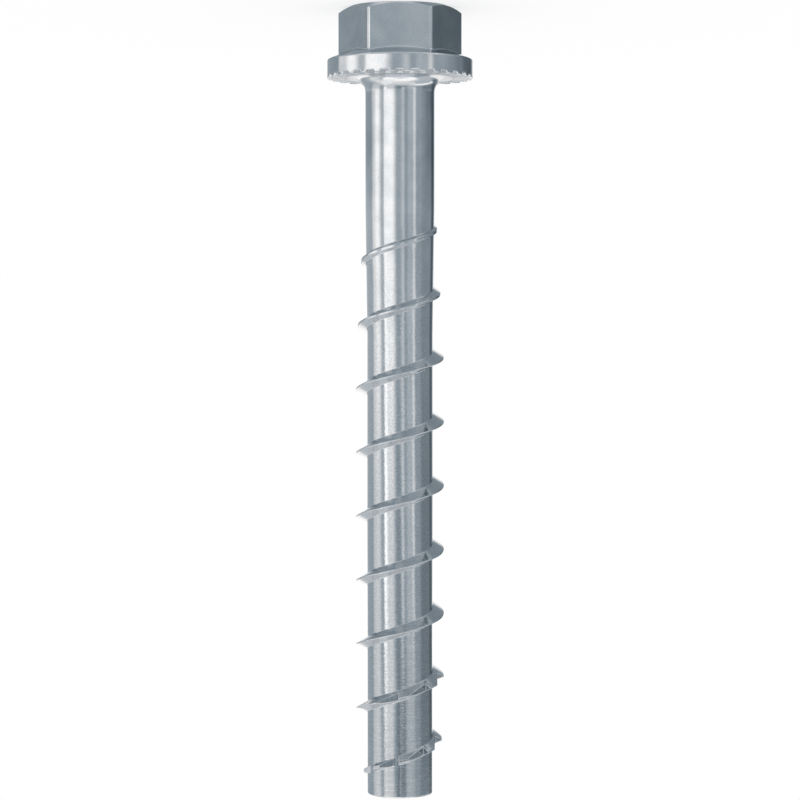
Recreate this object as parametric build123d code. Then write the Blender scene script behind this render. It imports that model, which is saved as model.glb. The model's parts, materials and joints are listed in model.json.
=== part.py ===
"""Concrete screw: one piece of cold-formed, thread-rolled and zinc-plated steel.

Millimetres. The screw stands on its head. The origin is the centre of the flat top of
the head, which rests on the surface, and +Z runs along the axis to the tip. Two flats
of the hexagon face -Y and +Y.
"""

import os
from math import atan, cos, degrees, radians, tan

from build123d import *

# Hexagon head with a pressed-on washer flange
across_flats = 15.0
hex_edge_radius = 0.5
hex_root_radius = 0.3
top_flat_diameter = 14.2
top_chamfer_angle = 28.0
head_height = 9.85
flange_diameter = 20.3
flange_rim_height = 2.55
flange_slope_angle = 22.0
flange_edge_radius = 0.2

# Locking ribs on the bearing face of the flange
rib_count = 30
rib_depth = 0.3
rib_inner_diameter = 15.0
groove_share = 0.66
groove_flank_angle = 40.0

# Shank and core, with lengths taken from the bearing face towards the tip
length = 100.0
shank_diameter = 9.65
core_diameter = 9.15
neck_radius = 2.0
shank_length = 18.3
shank_taper_length = 17.5
tip_chamfer = 0.12

# Concrete-cutting thread: a thin right-hand V ridge with a long pitch
thread_diameter = 12.3
pitch = 8.94
crest_width = 0.12
crest_spread = 0.35
head_flank_angle = 28.5
tip_flank_angle = 20.5
thread_start_length = 17.0
thread_start_angle = 18.0
emerging_turns = 0.45
emerging_height = 0.62
growing_turns = 2.05
full_turns = 5.75
falling_turns = 0.7
falling_height = 0.54
sinking_turns = 0.22

# Saw teeth cut into the last turns of the ridge
tooth_count = 13
teeth_per_turn = 8
first_tooth_turn = 7.454
tooth_ramp_angle = 31.0
tooth_depth = 0.95
tooth_cut_width = 3.2

# Derived sizes
flange_radius = flange_diameter / 2
shank_radius = shank_diameter / 2
core_radius = core_diameter / 2
crest_radius = thread_diameter / 2
rim_top = head_height - flange_rim_height
tip_height = head_height + length
thread_start_height = head_height + thread_start_length
# The stages of the ridge, each with its turns and the crest radius at its start and end
ridge_stages = [
    (emerging_turns, core_radius, core_radius + emerging_height),
    (growing_turns, core_radius + emerging_height, crest_radius),
    (full_turns, crest_radius, crest_radius),
    (falling_turns, crest_radius, core_radius + falling_height),
    (sinking_turns, core_radius + falling_height, core_radius),
]
# How far a tool or a root reaches past the surface that it meets
overlap = 0.3


def hexagon():
    """The drive hexagon: edges rounded, top corners turned to a cone."""
    profile = RegularPolygon(across_flats / 2, 6, major_radius=False)
    prism = extrude(profile, rim_top)
    prism = fillet(prism.edges().filter_by(Axis.Z), hex_edge_radius)
    top_radius = top_flat_diameter / 2
    chamfer_height = (flange_radius - top_radius) * tan(radians(top_chamfer_angle))
    envelope = Polyline(
        (0, 0),
        (top_radius, 0),
        (flange_radius, chamfer_height),
        (flange_radius, rim_top),
        (0, rim_top),
        close=True,
    )
    return prism & revolve(make_face(Plane.XZ * envelope), Axis.Z)


def turned_body():
    """Flange, neck, shank and tip as one turned profile."""
    neck_end = head_height + neck_radius
    taper_start = head_height + shank_length
    taper_end = taper_start + shank_taper_length
    apex = rim_top - flange_radius * tan(radians(flange_slope_angle))
    flange = Polyline(
        (0, apex),
        (flange_radius, rim_top),
        (flange_radius, head_height),
        (shank_radius + neck_radius, head_height),
    )
    neck = RadiusArc(flange @ 1, (shank_radius, neck_end), neck_radius)
    shank = Polyline(
        (shank_radius, neck_end),
        (shank_radius, taper_start),
        (core_radius, taper_end),
        (core_radius, tip_height - tip_chamfer),
        (core_radius - tip_chamfer, tip_height),
        (0, tip_height),
        (0, apex),
    )
    body = revolve(make_face(Plane.XZ * (flange + neck + shank)), Axis.Z)
    rim_edge = body.edges().filter_by(GeomType.CIRCLE).filter_by_position(Axis.Z, rim_top, rim_top)
    return fillet(rim_edge, flange_edge_radius)


def blank():
    """Hexagon and turned body in one, with a rounded root where the hexagon meets the flange."""
    prism = hexagon()
    turned = turned_body()
    joined = prism + turned
    return fillet(new_edges(prism, turned, combined=joined), hex_root_radius)


def rib_grooves():
    """The grooves that leave the ribs standing, each wider towards the rim."""
    half_angle = radians(groove_share * 180 / rib_count)
    inner = rib_inner_diameter / 2
    outer = flange_radius + overlap
    opening = Polygon(
        (inner, -inner * tan(half_angle)),
        (outer, -outer * tan(half_angle)),
        (outer, outer * tan(half_angle)),
        (inner, inner * tan(half_angle)),
        align=None,
    )
    groove = extrude(Pos(Z=head_height) * opening, -rib_depth, taper=groove_flank_angle)
    return [Rot(Z=(step + 0.5) * 360 / rib_count) * groove for step in range(rib_count)]


def on_the_helix(turn, shift=0.0):
    """The place on the axis that the ridge has reached at this turn, and its direction."""
    return Pos(Z=thread_start_height + turn * pitch + shift) * Rot(Z=thread_start_angle + 360 * turn)


def ridge_section(radius):
    """The V section at this crest radius, as (radius, shift along the axis) corners.

    Where the ridge is lower, its crest is wider, because the rolls haven't filled it.
    """
    root_radius = core_radius - overlap
    half_crest = (crest_width + crest_spread * (crest_radius - radius)) / 2
    depth = radius - root_radius
    return [
        (radius, -half_crest),
        (radius, half_crest),
        (root_radius, half_crest + depth * tan(radians(tip_flank_angle))),
        (root_radius, -half_crest - depth * tan(radians(head_flank_angle))),
    ]


def ridge_line(turn, turns, start, end):
    """One corner of the section swept from start to end: a helix on a cylinder or cone."""
    (start_radius, start_shift), (end_radius, end_shift) = start, end
    rise = turns * pitch + end_shift - start_shift
    slant = atan((end_radius - start_radius) / rise)
    line = Edge.make_helix(rise / turns / cos(slant), rise, start_radius, angle=degrees(slant))
    return on_the_helix(turn, start_shift) * line


def thread_ridge():
    """The whole ridge as one solid, from where it emerges to where it sinks away."""
    faces = []
    turn = 0.0
    for turns, start_radius, end_radius in ridge_stages:
        corners = zip(ridge_section(start_radius), ridge_section(end_radius))
        lines = [ridge_line(turn, turns, start, end) for start, end in corners]
        faces += [Face.make_surface_from_curves(*pair) for pair in zip(lines, lines[1:] + lines[:1])]
        if turn == 0:
            faces.append(Face(Wire.make_polygon([line @ 0 for line in lines])))
        turn += turns
    faces.append(Face(Wire.make_polygon([line @ 1 for line in lines])))
    return Solid(Shell(faces))


def crest_at(turn):
    """The crest radius that the ridge has reached at this turn."""
    for turns, start_radius, end_radius in ridge_stages:
        if turn < turns:
            return start_radius + (end_radius - start_radius) * turn / turns
        turn -= turns
    return core_radius


def tooth_cutter(turn):
    """A wedge for one tooth: a flat ramp down the crest that ends at a radial cutting face."""
    ramp_turns = tooth_ramp_angle / 360
    root = Vector(crest_at(turn) - tooth_depth, 0)
    ramp_top = Vector(crest_at(turn + ramp_turns), 0).rotate(Axis.Z, tooth_ramp_angle)
    ramp_end = root + (ramp_top - root) * (1 + 2 * overlap)
    outline = Polygon((root.X, 0), (ramp_end.X, ramp_end.Y), (ramp_end.length, 0), align=None)
    wedge = extrude(outline, tooth_cut_width / 2, both=True)
    return on_the_helix(turn, ramp_turns * pitch / 2) * wedge


def tooth_cutters():
    """One wedge for each tooth, evenly spaced along the ridge."""
    return [tooth_cutter(first_tooth_turn + step / teeth_per_turn) for step in range(tooth_count)]


concrete_screw = blank() - rib_grooves()
concrete_screw += thread_ridge() - tooth_cutters()
concrete_screw.label = "concrete_screw"

os.makedirs("parts", exist_ok=True)
export_step(concrete_screw, "parts/concrete_screw.step")
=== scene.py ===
# %% [markdown]
# # A concrete screw in zinc-plated steel
# The screw is one piece of cold-formed steel: a hexagon head with a washer flange, a plain
# shank, and a thread that ends in saw teeth. So this lesson gives it what it lacks: a
# finish, light to mirror, a floor and a camera. Every length is in metres, and +Z points
# up.

# %% Load the frame
import json
import math

import bmesh
import bpy
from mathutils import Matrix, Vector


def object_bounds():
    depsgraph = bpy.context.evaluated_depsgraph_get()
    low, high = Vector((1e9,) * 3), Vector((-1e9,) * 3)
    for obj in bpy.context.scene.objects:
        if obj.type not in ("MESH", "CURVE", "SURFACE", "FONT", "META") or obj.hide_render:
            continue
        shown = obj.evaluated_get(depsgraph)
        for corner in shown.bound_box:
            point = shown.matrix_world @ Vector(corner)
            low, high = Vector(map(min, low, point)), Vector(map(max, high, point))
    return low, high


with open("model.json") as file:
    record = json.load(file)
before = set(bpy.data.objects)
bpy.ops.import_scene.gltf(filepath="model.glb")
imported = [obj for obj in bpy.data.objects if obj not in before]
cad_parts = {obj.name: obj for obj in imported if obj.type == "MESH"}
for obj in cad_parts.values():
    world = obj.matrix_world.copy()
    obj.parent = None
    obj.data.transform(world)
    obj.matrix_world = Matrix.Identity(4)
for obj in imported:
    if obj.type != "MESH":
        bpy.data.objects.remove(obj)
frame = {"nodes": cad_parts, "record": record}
screw = frame["nodes"]["concrete_screw"]
cad_box = [list(corner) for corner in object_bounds()]
screw_middle = sum(corner[2] for corner in cad_box) / 2
# The flange is the widest part, so the box ends at its rim
flange_radius = cad_box[1][0]
mount_heights = {mount["name"]: mount["pos_m"][2] for mount in frame["record"]["mounts"]}
bearing_height = mount_heights["bearing_face"]
print("CAD box:", cad_box)
print("bearing face of the flange:", bearing_height, "m up")

# %% [markdown]
# ## The camera
# The photograph looks at the screw from about a third of a metre, a little nearer to the
# head than to the tip, with the head at the top. The real screw can stand only on its
# head. It could be hung up to match, but a part has to rest as it is modelled, so the
# camera is turned upside down about its own line of sight instead. The lens follows from
# the distance and from how many pixels a metre takes up at the screw.

# %% Camera
SENSOR_WIDTH = 36
IMAGE_SIZE = 800
CAMERA_DISTANCE = 0.350
CAMERA_HEIGHT = 0.0467
AIM_HEIGHT = 0.0547
PIXELS_PER_METRE = 7145


def make_camera():
    """A camera in front of the screw, turned upside down."""
    rise = AIM_HEIGHT - CAMERA_HEIGHT
    reach = math.hypot(CAMERA_DISTANCE, rise)
    data = bpy.data.cameras.new("camera")
    data.sensor_width = SENSOR_WIDTH
    data.lens = SENSOR_WIDTH * reach * PIXELS_PER_METRE / IMAGE_SIZE
    camera = bpy.data.objects.new("camera", data)
    camera.location = (0, -CAMERA_DISTANCE, CAMERA_HEIGHT)
    camera.rotation_euler = (math.pi / 2 - math.atan2(rise, CAMERA_DISTANCE), math.pi, 0)
    bpy.context.scene.collection.objects.link(camera)
    bpy.context.scene.camera = camera
    return camera


camera = make_camera()
bpy.context.scene.view_settings.view_transform = "Standard"
print("lens:", round(camera.data.lens, 1), "mm")

# %% [markdown]
# ## A white world
# The photograph has a white background and soft light from every side. Several area lamps
# could give that light, and each would need its place and its strength. A plain white
# world does both at once, and at a strength of 1 a colour renders about as it is written.

# %% World
WHITE = (1, 1, 1, 1)
WORLD_STRENGTH = 1.0


def make_world():
    """Plain white light from all around."""
    world = bpy.data.worlds.new("white_studio")
    world.use_nodes = True
    background = world.node_tree.nodes["Background"]
    background.inputs["Color"].default_value = WHITE
    background.inputs["Strength"].default_value = WORLD_STRENGTH
    bpy.context.scene.world = world


make_world()
print("world: white, with a strength of", WORLD_STRENGTH)

# %% [markdown]
# ## Helpers for materials
# A material is a tree of nodes. In the editor they are placed and joined by hand. Here one
# helper adds a node and joins it to the nodes before it, so that each material below reads
# as a list of what it does.

# %% Node helpers


def add_node(tree, kind, settings=None, inputs=None):
    """One node, with its settings and with values or links for its inputs."""
    node = tree.nodes.new(kind)
    for name, value in (settings or {}).items():
        setattr(node, name, value)
    for name, value in (inputs or {}).items():
        if isinstance(value, bpy.types.NodeSocket):
            tree.links.new(value, node.inputs[name])
        else:
            node.inputs[name].default_value = value
    return node


def empty_material(name):
    """A material with nothing but an output, and the socket for its surface."""
    material = bpy.data.materials.new(name)
    material.use_nodes = True
    material.node_tree.nodes.clear()
    output = material.node_tree.nodes.new("ShaderNodeOutputMaterial")
    return material, output.inputs["Surface"]


# %% [markdown]
# ## The floor
# The screw stands on white paper. Paper that only scatters the world's light would carry a
# dark shadow round the head. A shadow could be left out altogether, but then the screw
# would seem to float. So most of the paper's brightness is its own, and the rest is light
# that falls on it, which leaves a faint soft shadow. Mirrors don't show the paper: below
# the floor they see the tent that comes next.

# %% Floor
FLOOR_RADIUS = 3.0
FLOOR_SIDES = 96
FLOOR_OWN_LIGHT = 0.7


def stage_object(name, shape, material):
    """A mesh object that belongs to the studio and not to the screw."""
    mesh = bpy.data.meshes.new(name)
    shape.to_mesh(mesh)
    shape.free()
    mesh.materials.append(material)
    thing = bpy.data.objects.new(name, mesh)
    bpy.context.scene.collection.objects.link(thing)
    return thing


def floor_material():
    """White paper: most of its brightness is its own, the rest is light that falls on it."""
    material, surface = empty_material("floor_paper")
    tree = material.node_tree
    paper = add_node(tree, "ShaderNodeBsdfDiffuse", inputs={"Color": WHITE})
    glow = add_node(tree, "ShaderNodeEmission", inputs={"Color": WHITE})
    inputs = {"Fac": FLOOR_OWN_LIGHT, 1: paper.outputs[0], 2: glow.outputs[0]}
    mixed = add_node(tree, "ShaderNodeMixShader", inputs=inputs)
    tree.links.new(mixed.outputs[0], surface)
    return material


disc = bmesh.new()
bmesh.ops.create_circle(disc, cap_ends=True, segments=FLOOR_SIDES, radius=FLOOR_RADIUS)
floor = stage_object("floor", disc, floor_material())
floor.visible_glossy = False
print("floor:", FLOOR_RADIUS, "m in radius")

# %% [markdown]
# ## A tent of light
# Polished metal shows hardly any colour of its own: it shows what stands round it. The
# long stripes on the screw are the soft boxes, grey cloth and dark corners of a studio.
# They could be built as lamps and boards, and each would light the floor and stand in the
# way of the next. One sphere of glowing cloth, painted by direction, shows in the metal
# just as they would, and stays in its place as the camera moves.
#
# A place on the tent has a compass direction and an elevation, both in degrees. Direction
# 0 is where the photograph was taken from, plus is to its right, and 180 is behind the
# screw. Elevation 0 is as high as the middle of the screw, and 90 is straight above it.
# Brightness is a level, and a level of 1 is as bright as white paper.

# %% Directions inside the tent


def calculate(tree, operation, *values):
    """A Math node's result."""
    inputs = dict(enumerate(values))
    return add_node(tree, "ShaderNodeMath", {"operation": operation}, inputs).outputs[0]


def direction_from_screw(tree):
    """The direction of a place on the tent, with a length of 1, and its three parts."""
    place = add_node(tree, "ShaderNodeTexCoord").outputs["Object"]
    settings = {"operation": "NORMALIZE"}
    direction = add_node(tree, "ShaderNodeVectorMath", settings, {0: place}).outputs[0]
    parts = add_node(tree, "ShaderNodeSeparateXYZ", inputs={"Vector": direction})
    return direction, parts.outputs


def compass_angle(tree, east, north):
    """The compass direction in radians, from minus to plus half a turn."""
    minus_east = calculate(tree, "MULTIPLY", east, -1)
    minus_north = calculate(tree, "MULTIPLY", north, -1)
    return calculate(tree, "ARCTAN2", minus_east, minus_north)


# %% [markdown]
# ## Soft edges and blends
# Every edge in the tent is a little soft, as the edge of a hanging cloth is when it is out
# of focus. A Greater Than node could make an edge, but it would be as hard as if cut with
# scissors. A Map Range node makes a soft one, and a Mix node blends two levels over it.

# %% Edges and blends


def fade(tree, value, start, end):
    """0 at start, 1 at end, and a smooth curve between them."""
    settings = {"interpolation_type": "SMOOTHSTEP"}
    inputs = {"Value": value, "From Min": start, "From Max": end}
    return add_node(tree, "ShaderNodeMapRange", settings, inputs).outputs[0]


def blend_values(tree, share, low, high):
    """A number between low and high."""
    inputs = {0: share, 2: low, 3: high}
    return add_node(tree, "ShaderNodeMix", {"data_type": "FLOAT"}, inputs).outputs[0]


def height_of(elevation):
    """The height on a tent of radius 1 at an elevation in degrees."""
    return math.sin(math.radians(elevation))


def fade_up(tree, height, start, end):
    """0 at the first elevation and 1 at the second, both in degrees."""
    return fade(tree, height, height_of(start), height_of(end))


print("an elevation of 30 degrees is a height of", round(height_of(30), 2))

# %% [markdown]
# ## Panels round the screw
# Each long stripe is one upright panel. The panels could be separate planes, but a colour
# ramp over the compass direction holds them all: two stops of one level are a panel, and
# the stretch to the next panel is its soft edge. The panels aren't equally bright all the
# way up, so there is one ramp for low down, one for high up, and a fade between them. A
# ramp runs from 0 to 1, so 0.5 is the camera's side, and it holds 32 stops at most, which
# is enough for 16 panels.

# %% Panels
# The level of white cloth: a level divided by it is the share that the nodes work with
TENT_STRENGTH = 1.8
# Each panel: its name, its left and right edge, its level low down and its level high up
PANELS = (
    ("backdrop", -180, -171, 0.98, 0.75),
    ("left cloth", -160, -110, 0.61, 0.53),
    ("left box, dim side", -101, -94, 1.18, 0.93),
    ("left box", -87, -77, 1.54, 1.03),
    ("gap beside the left box", -65, -57, 0.70, 0.57),
    ("edge light", -54, -48, 1.52, 1.85),
    ("tall box", -42, -25, 1.58, 1.05),
    ("cloth round the camera", -11, 0, 0.57, 0.42),
    ("thin strip", 9, 12, 0.84, 0.98),
    ("gap beside the strip", 17, 22, 0.48, 0.54),
    ("pale cloth", 29, 43, 0.67, 0.74),
    ("slit of light", 47.5, 50, 1.12, 1.12),
    ("right cloth", 56, 72, 0.51, 0.49),
    ("dark cloth", 85, 121, 0.41, 0.30),
    ("dark corner", 136, 147, 0.13, 0.15),
    ("backdrop", 169, 180, 0.98, 0.75),
)
LOW_ELEVATION = -4
HIGH_ELEVATION = 6
FULL_TURN = 360
RAMP_MIDDLE = 0.5


def ramp_round_the_tent(tree, compass, levels):
    """One level for each panel, as a ramp over the compass direction."""
    ramp = add_node(tree, "ShaderNodeValToRGB", inputs={"Fac": compass})
    edges = []
    for (_, left, right, _, _), level in zip(PANELS, levels):
        grey = level / TENT_STRENGTH
        edges += [(left, grey), (right, grey)]
    stops = ramp.color_ramp.elements
    for degrees, _ in edges[1:-1]:
        stops.new(degrees / FULL_TURN + RAMP_MIDDLE)
    for stop, (_, grey) in zip(stops, edges):
        stop.color = (grey, grey, grey, 1)
    return ramp.outputs["Color"]


def panel_level(tree, angle, height):
    """The panels' level in each direction, as a share of the tent's strength."""
    compass = calculate(tree, "MULTIPLY_ADD", angle, 1 / math.tau, RAMP_MIDDLE)
    _, _, _, low_levels, high_levels = zip(*PANELS)
    low = ramp_round_the_tent(tree, compass, low_levels)
    high = ramp_round_the_tent(tree, compass, high_levels)
    return blend_values(tree, fade_up(tree, height, LOW_ELEVATION, HIGH_ELEVATION), low, high)


print("panels:", len(PANELS), "from", PANELS[0][1], "to", PANELS[-1][2], "degrees")

# %% [markdown]
# ## Cloth above and floor below
# Above the panels hangs pale cloth, below them lies a darker floor, and behind the screw
# their foot stands in shadow. The flanks of the thread and the underside of the flange
# show these. They could be painted with as many panels again, but such large plain
# surfaces need only two levels each: one in front of the screw and one behind it.

# %% Cloth and floor
# How far a direction points away from the camera, where behind begins and where it is full
BEHIND_EDGES = (-0.1, 0.3)
# Elevations where the shadow and the floor begin and where they are full
SHADED_FOOT = (-5.5, -7.5)
LOWER_EDGE = (-12, -20)
SHADED_SHARE = 0.72
# In front of the screw and behind it: elevations where the cloth above begins and where it
# is full, the level of that cloth, and the level of the floor
UPPER_START = (14, 22)
UPPER_FULL = (34, 40)
UPPER_LEVELS = (0.95, 0.75)
LOWER_LEVELS = (0.62, 0.36)


def add_cloth_and_floor(tree, north, height, level):
    """Shade the panels' foot, and fade them into the cloth above and the floor below."""
    behind = fade(tree, north, *BEHIND_EDGES)
    foot = calculate(tree, "MULTIPLY", behind, fade_up(tree, height, *SHADED_FOOT))
    level = calculate(tree, "MULTIPLY", level, blend_values(tree, foot, 1.0, SHADED_SHARE))
    start = blend_values(tree, behind, *[height_of(edge) for edge in UPPER_START])
    full = blend_values(tree, behind, *[height_of(edge) for edge in UPPER_FULL])
    cloth = blend_values(tree, behind, *[upper / TENT_STRENGTH for upper in UPPER_LEVELS])
    level = blend_values(tree, fade(tree, height, start, full), level, cloth)
    ground = blend_values(tree, behind, *[lower / TENT_STRENGTH for lower in LOWER_LEVELS])
    return blend_values(tree, fade_up(tree, height, *LOWER_EDGE), level, ground)


print("cloth above:", UPPER_LEVELS, "floor below:", LOWER_LEVELS)

# %% [markdown]
# ## Round lamps
# The neck shows the ceiling lamp as a white crescent, and the flanks of the thread show
# reflectors near the floor. Lamp objects could stand there, but they would light the floor
# too. On the tent, the dot product of two directions says how far they lie apart, so one
# fade over it draws a round lamp anywhere.

# %% Lamps
# Each lamp: its name, its compass direction, its elevation, its reach, how soft its edge
# is, and its level
LAMPS = (
    ("ceiling lamp", 0, 86, 29, 4, 1.60),
    ("lamp above the left box", -52, 50, 22, 4, 1.40),
    ("white floor below", 0, -90, 31, 5, 0.80),
    ("reflector on the floor", -63, -29.5, 13, 5, 1.25),
    ("reflector on the right", 62, -44, 14, 5, 1.25),
)


def inside_lamp(tree, direction, side, rise, reach, softness):
    """1 inside a round lamp at this compass direction and elevation, and 0 outside it."""
    side, rise = math.radians(side), math.radians(rise)
    centre = (-math.sin(side) * math.cos(rise), -math.cos(side) * math.cos(rise), math.sin(rise))
    inputs = {0: direction, 1: centre}
    facing = add_node(tree, "ShaderNodeVectorMath", {"operation": "DOT_PRODUCT"}, inputs)
    outer_edge = math.cos(math.radians(reach + softness))
    inner_edge = math.cos(math.radians(reach - softness))
    return fade(tree, facing.outputs["Value"], outer_edge, inner_edge)


def add_lamps(tree, direction, level):
    """Lay the lamps over what hangs behind them."""
    for _, side, rise, reach, softness, brightness in LAMPS:
        inside = inside_lamp(tree, direction, side, rise, reach, softness)
        level = blend_values(tree, inside, level, brightness / TENT_STRENGTH)
    return level


print("lamps:", len(LAMPS))

# %% [markdown]
# ## Straight-edged patches
# The rest of the studio has straight edges: the top of a soft box, a bar of light, a dark
# corner beside the head. Panels can't show them, because a panel has no top or bottom of
# its own. So each is a patch between two compass directions and two elevations, made of
# four fades, and it lies over those before it in the list.

# %% Patches
# Each patch: its name, its left and right edge, its bottom and top, how soft its edges
# are, and its level
PATCHES = (
    ("top of the backdrop, left", -190, -164, 7.5, 34, 2.5, 1.32),
    ("top of the backdrop, right", 159, 190, 7.5, 34, 2.5, 1.28),
    ("foot of the left box", -112, -101, -20, -10.2, 0.6, 1.15),
    ("top of the edge light", -56, -44, 11, 22, 2.0, 1.10),
    ("cloth above the camera", -7, 5.5, 6, 18, 2.0, 0.42),
    ("gap above the camera", -8, 20, 11.8, 18, 1.6, 0.26),
    ("slit above the camera", 1.5, 4.5, 11.6, 18, 0.5, 0.75),
    ("cloth above the slit", 44, 54, 10, 20, 2.0, 0.66),
    ("dim cloth above the camera", -20, 22, 20, 32, 2.5, 0.78),
    ("pale cloth above the camera", -32, 42, 33, 54, 3.5, 1.12),
    ("pale cloth on the upper left", -153, -80, 38, 56, 3.5, 1.10),
    ("pale cloth on the upper right", 32, 60, 25, 50, 3.5, 1.08),
    ("pale cloth beside the lamp", -105, -82, 38, 54, 3.5, 1.24),
    ("cloth over the dark corner", 80, 150, 16, 20, 2.0, 0.46),
    ("dim cloth on the upper right", 62, 112, 33, 54, 4.0, 0.70),
    ("bar on the right", 55, 135, 22, 30, 2.5, 1.50),
    ("dark corner beside the head", 117, 144, -36, -9.8, 2.0, 0.17),
    ("foot of the backdrop, right", 165.5, 190, -25, -3, 1.2, 1.00),
    ("floor on the left", -136, -84, -54, -24, 3.0, 0.64),
    ("floor in front, left", -62, -24, -63, -48, 3.0, 0.90),
    ("pale floor behind, left", -190, -168, -58, -43, 3.0, 0.88),
    ("pale floor behind, right", 173, 190, -58, -43, 3.0, 0.88),
)


def fade_across(tree, angle, start, end):
    """0 at the first compass direction and 1 at the second, both in degrees."""
    return fade(tree, angle, math.radians(start), math.radians(end))


def inside_patch(tree, angle, height, left, right, bottom, top, softness):
    """1 inside a patch between two compass directions and two elevations, and 0 outside it."""
    inside = fade_across(tree, angle, left - softness, left + softness)
    before_right = fade_across(tree, angle, right + softness, right - softness)
    inside = calculate(tree, "MULTIPLY", inside, before_right)
    above_bottom = fade_up(tree, height, bottom - softness, bottom + softness)
    inside = calculate(tree, "MULTIPLY", inside, above_bottom)
    below_top = fade_up(tree, height, top + softness, top - softness)
    return calculate(tree, "MULTIPLY", inside, below_top)


def add_patches(tree, angle, height, level):
    """Lay the patches over all that comes before them."""
    for _, left, right, bottom, top, softness, brightness in PATCHES:
        inside = inside_patch(tree, angle, height, left, right, bottom, top, softness)
        level = blend_values(tree, inside, level, brightness / TENT_STRENGTH)
    return level


print("patches:", len(PATCHES))

# %% [markdown]
# ## The tent's cloth
# The photograph is bluer in its greys than in its whites. Two coloured lamps could do
# that, but a tint that follows the brightness does it everywhere at once: dim cloth is
# bluish, and bright cloth is a touch warm.

# %% Cloth of the tent
SHADE_TINT = (0.80, 1.0, 1.15, 1)
LIGHT_TINT = (1.06, 1.0, 0.965, 1)
# The share of the tent's strength from which the cloth has the light tint
LIGHT_SHARE = 0.62


def blend_colours(tree, share, low, high):
    """A colour between low and high."""
    inputs = {0: share, 6: low, 7: high}
    return add_node(tree, "ShaderNodeMix", {"data_type": "RGBA"}, inputs).outputs[2]


def tent_level(tree):
    """How bright the tent is in each direction, as a share of its strength."""
    direction, (east, north, height) = direction_from_screw(tree)
    angle = compass_angle(tree, east, north)
    level = panel_level(tree, angle, height)
    level = add_cloth_and_floor(tree, north, height, level)
    level = add_lamps(tree, direction, level)
    return add_patches(tree, angle, height, level)


def tent_material():
    """Glowing cloth, bluer where it is dim."""
    material, surface = empty_material("tent_cloth")
    tree = material.node_tree
    level = tent_level(tree)
    share = calculate(tree, "MULTIPLY", level, 1 / LIGHT_SHARE)
    inputs = {0: blend_colours(tree, share, SHADE_TINT, LIGHT_TINT), "Scale": level}
    colour = add_node(tree, "ShaderNodeVectorMath", {"operation": "SCALE"}, inputs).outputs[0]
    inputs = {"Color": colour, "Strength": TENT_STRENGTH}
    glow = add_node(tree, "ShaderNodeEmission", inputs=inputs)
    tree.links.new(glow.outputs[0], surface)
    material.cycles.emission_sampling = "NONE"
    return material


cloth = tent_material()
print("tent's cloth:", len(cloth.node_tree.nodes), "nodes")

# %% [markdown]
# ## Hanging the tent
# The tent is a sphere round the middle of the screw. The world could be painted instead,
# but the world is infinitely far away. A tent near the screw lets the head and the tip
# mirror slightly different parts of it, as in a real studio. Only mirror rays see it: it
# casts no shadow, the camera looks through it, and the world alone lights the floor.

# %% Tent
TENT_RADIUS = 0.6
TENT_SEGMENTS = 96


def make_tent():
    """A sphere round the screw that only mirror rays can see."""
    shape = bmesh.new()
    bmesh.ops.create_uvsphere(
        shape, u_segments=TENT_SEGMENTS, v_segments=TENT_SEGMENTS // 2, radius=TENT_RADIUS
    )
    tent = stage_object("light_tent", shape, cloth)
    tent.location.z = screw_middle
    tent.visible_camera = False
    tent.visible_diffuse = False
    tent.visible_shadow = False
    return tent


tent = make_tent()
print("tent:", TENT_RADIUS, "m in radius, around a height of", round(tent.location.z, 3), "m")

# %% [markdown]
# ## Zinc-plated steel
# Bright zinc is a blue-grey mirror that isn't quite clear. The finish isn't the same
# everywhere. The shank is smooth, the core is coarser where the thread is rolled, the
# rolling lines grow stronger towards the tip, and the ring with the ribs is pressed into
# the flange and is the dullest. A picture of plating wrapped round the screw would stretch
# and show a seam. Noise on Object coordinates has one scale all over, and a point's height
# and its distance from the axis say which zone it lies in. The zones are measured from the
# flange, as the frame gives it, so they stay in place if the head gets another height.

# %% Zones of the finish
# Where a zone hasn't begun and where it is full, as heights over the bearing face
THREAD_ZONE = (0.01715, 0.03615)
TIP_ZONE = (0.04515, 0.09515)
RING_ZONE = (-0.00055, -0.00025)
# The same for the sides of the ring, as distances in from the edge of the flange
RING_OUTER_EDGE = (0.00025, 0.00045)
RING_INNER_EDGE = (0.00435, 0.00235)


def inset_and_height(tree, place):
    """How far a point lies in from the flange's edge, and how far over the bearing face."""
    parts = add_node(tree, "ShaderNodeSeparateXYZ", inputs={"Vector": place})
    inputs = {"X": parts.outputs["X"], "Y": parts.outputs["Y"]}
    across = add_node(tree, "ShaderNodeCombineXYZ", inputs=inputs).outputs[0]
    settings = {"operation": "LENGTH"}
    radius = add_node(tree, "ShaderNodeVectorMath", settings, {0: across}).outputs["Value"]
    inset = calculate(tree, "SUBTRACT", flange_radius, radius)
    height = calculate(tree, "SUBTRACT", parts.outputs["Z"], bearing_height)
    return inset, height


def pressed_ring(tree, inset, height):
    """1 on the pressed ring under the flange, and 0 elsewhere."""
    ring = calculate(
        tree, "MULTIPLY", fade(tree, inset, *RING_INNER_EDGE), fade(tree, inset, *RING_OUTER_EDGE)
    )
    return calculate(tree, "MULTIPLY", ring, fade(tree, height, *RING_ZONE))


print("rolled finish from", round(1000 * THREAD_ZONE[0], 1), "mm over the bearing face")

# %% [markdown]
# ## Relief of the plating
# Grain and scratches are too fine to model, so they are a height map for a Bump node. The
# grain is noise. Noise that is squeezed along the axis turns into the short lines that the
# rolls leave round the screw. A slow wave keeps the long reflections from being ruler
# straight. No height is much more than a hundredth of a millimetre: with more, the stripes
# look hammered.

# %% Relief
# Scales are in grains, lines or waves per metre, and heights in metres
GRAIN_SCALE = 3300
GRAIN_DETAIL = 2.0
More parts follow.
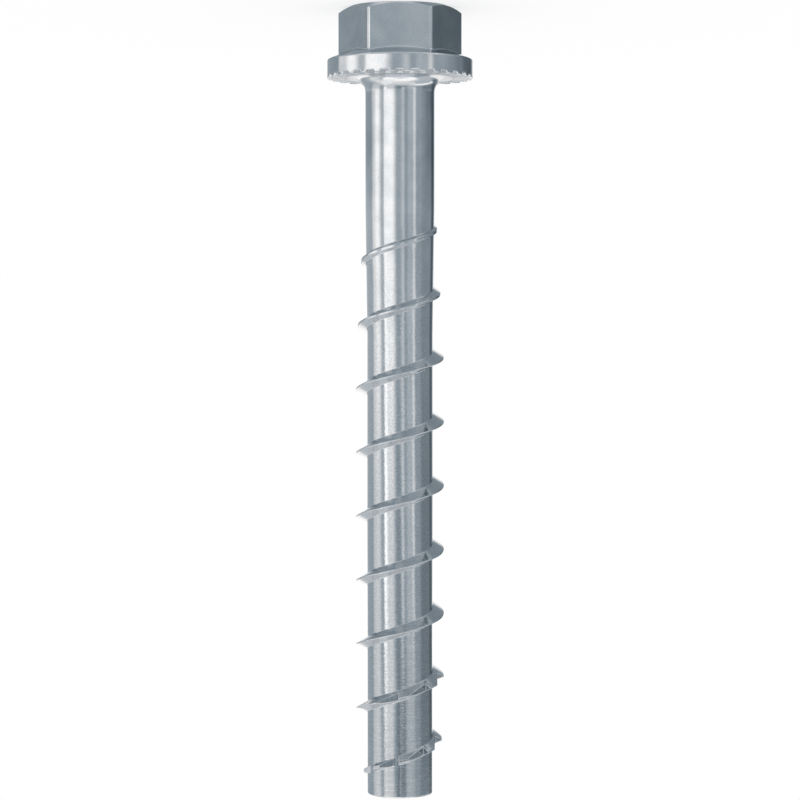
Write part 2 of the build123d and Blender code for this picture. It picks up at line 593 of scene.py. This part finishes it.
# The grain's height on the shank, on the core and near the tip
GRAIN_HEIGHTS = (3e-6, 7e-6, 1.1e-5)
SCRATCH_SCALE = (600, 600, 4200)
SCRATCH_DETAIL = 2.0
SCRATCH_HEIGHT = 7e-6
WAVE_SCALE = 300
WAVE_DETAIL = 1.0
WAVE_HEIGHT = 9e-6


def noise(tree, place, scale, detail):
    """Noise over the surface, about 0 to 1."""
    inputs = {"Vector": place, "Scale": scale, "Detail": detail}
    return add_node(tree, "ShaderNodeTexNoise", inputs=inputs).outputs[0]


def scratches(tree, place):
    """Fine lines that run round the screw, about 0 to 1."""
    inputs = {"Vector": place, "Scale": SCRATCH_SCALE}
    squeezed = add_node(tree, "ShaderNodeMapping", inputs=inputs).outputs[0]
    return noise(tree, squeezed, 1.0, SCRATCH_DETAIL)


def relief(tree, place, thread, tip, scratched):
    """The height of the plating: grain everywhere, scratches near the tip, slow waves."""
    shank_grain, core_grain, tip_grain = GRAIN_HEIGHTS
    grain_height = blend_values(tree, thread, shank_grain, core_grain)
    grain_height = blend_values(tree, tip, grain_height, tip_grain)
    grain = noise(tree, place, GRAIN_SCALE, GRAIN_DETAIL)
    height = calculate(tree, "MULTIPLY", grain, grain_height)
    scratch_height = calculate(tree, "MULTIPLY", tip, SCRATCH_HEIGHT)
    height = calculate(tree, "MULTIPLY_ADD", scratched, scratch_height, height)
    wave = noise(tree, place, WAVE_SCALE, WAVE_DETAIL)
    return calculate(tree, "MULTIPLY_ADD", wave, WAVE_HEIGHT, height)


print("grain:", round(1000 / GRAIN_SCALE, 1), "mm, waves:", round(1000 / WAVE_SCALE, 1), "mm")

# %% [markdown]
# ## Rounded edges
# No edge on the real screw is quite sharp, and each shows a thin line of light. The CAD
# solid keeps most of its edges sharp. A Bevel modifier could round them, but it would move
# the surface, so a Bevel node rounds them for the light alone, the flange's rim the most.

# %% Rounded edges
BEVEL_SAMPLES = 8
EDGE_ROUNDING = 0.00018
RIM_ROUNDING = 0.00035
# As heights over the bearing face
RIM_LOWER_EDGE = (-0.00205, -0.00105)
RIM_UPPER_EDGE = (0.00035, 0.00015)


def rounded_edges(tree, height):
    """The surface's direction with its edges rounded."""
    rim = calculate(
        tree, "MULTIPLY", fade(tree, height, *RIM_LOWER_EDGE), fade(tree, height, *RIM_UPPER_EDGE)
    )
    inputs = {"Radius": blend_values(tree, rim, EDGE_ROUNDING, RIM_ROUNDING)}
    return add_node(tree, "ShaderNodeBevel", {"samples": BEVEL_SAMPLES}, inputs).outputs[0]


print(f"edges rounded by {1000 * EDGE_ROUNDING:.2f} mm, the rim by {1000 * RIM_ROUNDING:.2f} mm")

# %% [markdown]
# ## Colour of the zinc
# Close up, plating isn't one grey. Slow clouds run over the shank, fine speckles cover the
# core, and the rolling lines near the tip are darker. Each is noise cut by a fade, which
# blends two greys that lie close together: a strong contrast would look like dirt.

# %% Colour
ZINC_COLOUR = (0.585, 0.625, 0.655, 1)
ZINC_SHADE = (0.47, 0.515, 0.55, 1)
SCRATCH_COLOUR = (0.47, 0.51, 0.54, 1)
SPECKLE_SCALE = 3600
SPECKLE_DETAIL = 1.0
SPECKLE_EDGES = (0.3, 0.7)
SHANK_SPECKLES = 0.255
THREAD_SPECKLES = 0.85
CLOUD_SCALE = 300
CLOUD_DETAIL = 3.0
CLOUD_EDGES = (0.35, 0.7)
DARK_LINE_EDGES = (0.42, 0.62)


def zinc_colour(tree, place, thread, tip, scratched):
    """Two greys of zinc in clouds and speckles, with dark lines near the tip."""
    speckles = fade(tree, noise(tree, place, SPECKLE_SCALE, SPECKLE_DETAIL), *SPECKLE_EDGES)
    clouds = fade(tree, noise(tree, place, CLOUD_SCALE, CLOUD_DETAIL), *CLOUD_EDGES)
    speckle_share = blend_values(tree, thread, SHANK_SPECKLES, THREAD_SPECKLES)
    shaded = blend_values(tree, speckle_share, clouds, speckles)
    colour = blend_colours(tree, shaded, ZINC_COLOUR, ZINC_SHADE)
    dark_lines = calculate(tree, "MULTIPLY", tip, fade(tree, scratched, *DARK_LINE_EDGES))
    return blend_colours(tree, dark_lines, colour, SCRATCH_COLOUR)


print("zinc:", ZINC_COLOUR[:3], "to", ZINC_SHADE[:3])

# %% [markdown]
# ## The finished zinc
# Now the parts come together in one Principled shader: full metal, smooth everywhere but
# on the pressed ring, with the relief laid over the rounded edges. The screw is one piece
# with one finish, so the material goes into the CAD object's own slot.

# %% Zinc on the screw
ZINC_ROUGHNESS = 0.12
RING_ROUGHNESS = 0.5
# A Bump node of this distance reads heights in metres
BUMP_DISTANCE = 1.0


def zinc_material():
    """Blue-grey zinc with its grain, its rolling lines and its rounded edges."""
    material, surface = empty_material("zinc_plated_steel")
    tree = material.node_tree
    place = add_node(tree, "ShaderNodeTexCoord").outputs["Object"]
    inset, height = inset_and_height(tree, place)
    thread = fade(tree, height, *THREAD_ZONE)
    tip = fade(tree, height, *TIP_ZONE)
    scratched = scratches(tree, place)
    inputs = {
        "Distance": BUMP_DISTANCE,
        "Height": relief(tree, place, thread, tip, scratched),
        "Normal": rounded_edges(tree, height),
    }
    bump = add_node(tree, "ShaderNodeBump", inputs=inputs).outputs[0]
    ring = pressed_ring(tree, inset, height)
    inputs = {
        "Base Color": zinc_colour(tree, place, thread, tip, scratched),
        "Metallic": 1.0,
        "Roughness": blend_values(tree, ring, ZINC_ROUGHNESS, RING_ROUGHNESS),
        "Normal": bump,
    }
    steel = add_node(tree, "ShaderNodeBsdfPrincipled", inputs=inputs)
    tree.links.new(steel.outputs[0], surface)
    return material


zinc = zinc_material()
for slot in screw.material_slots:
    slot.material = zinc
print("zinc in", len(screw.material_slots), "slot and on", len(screw.data.polygons), "faces")
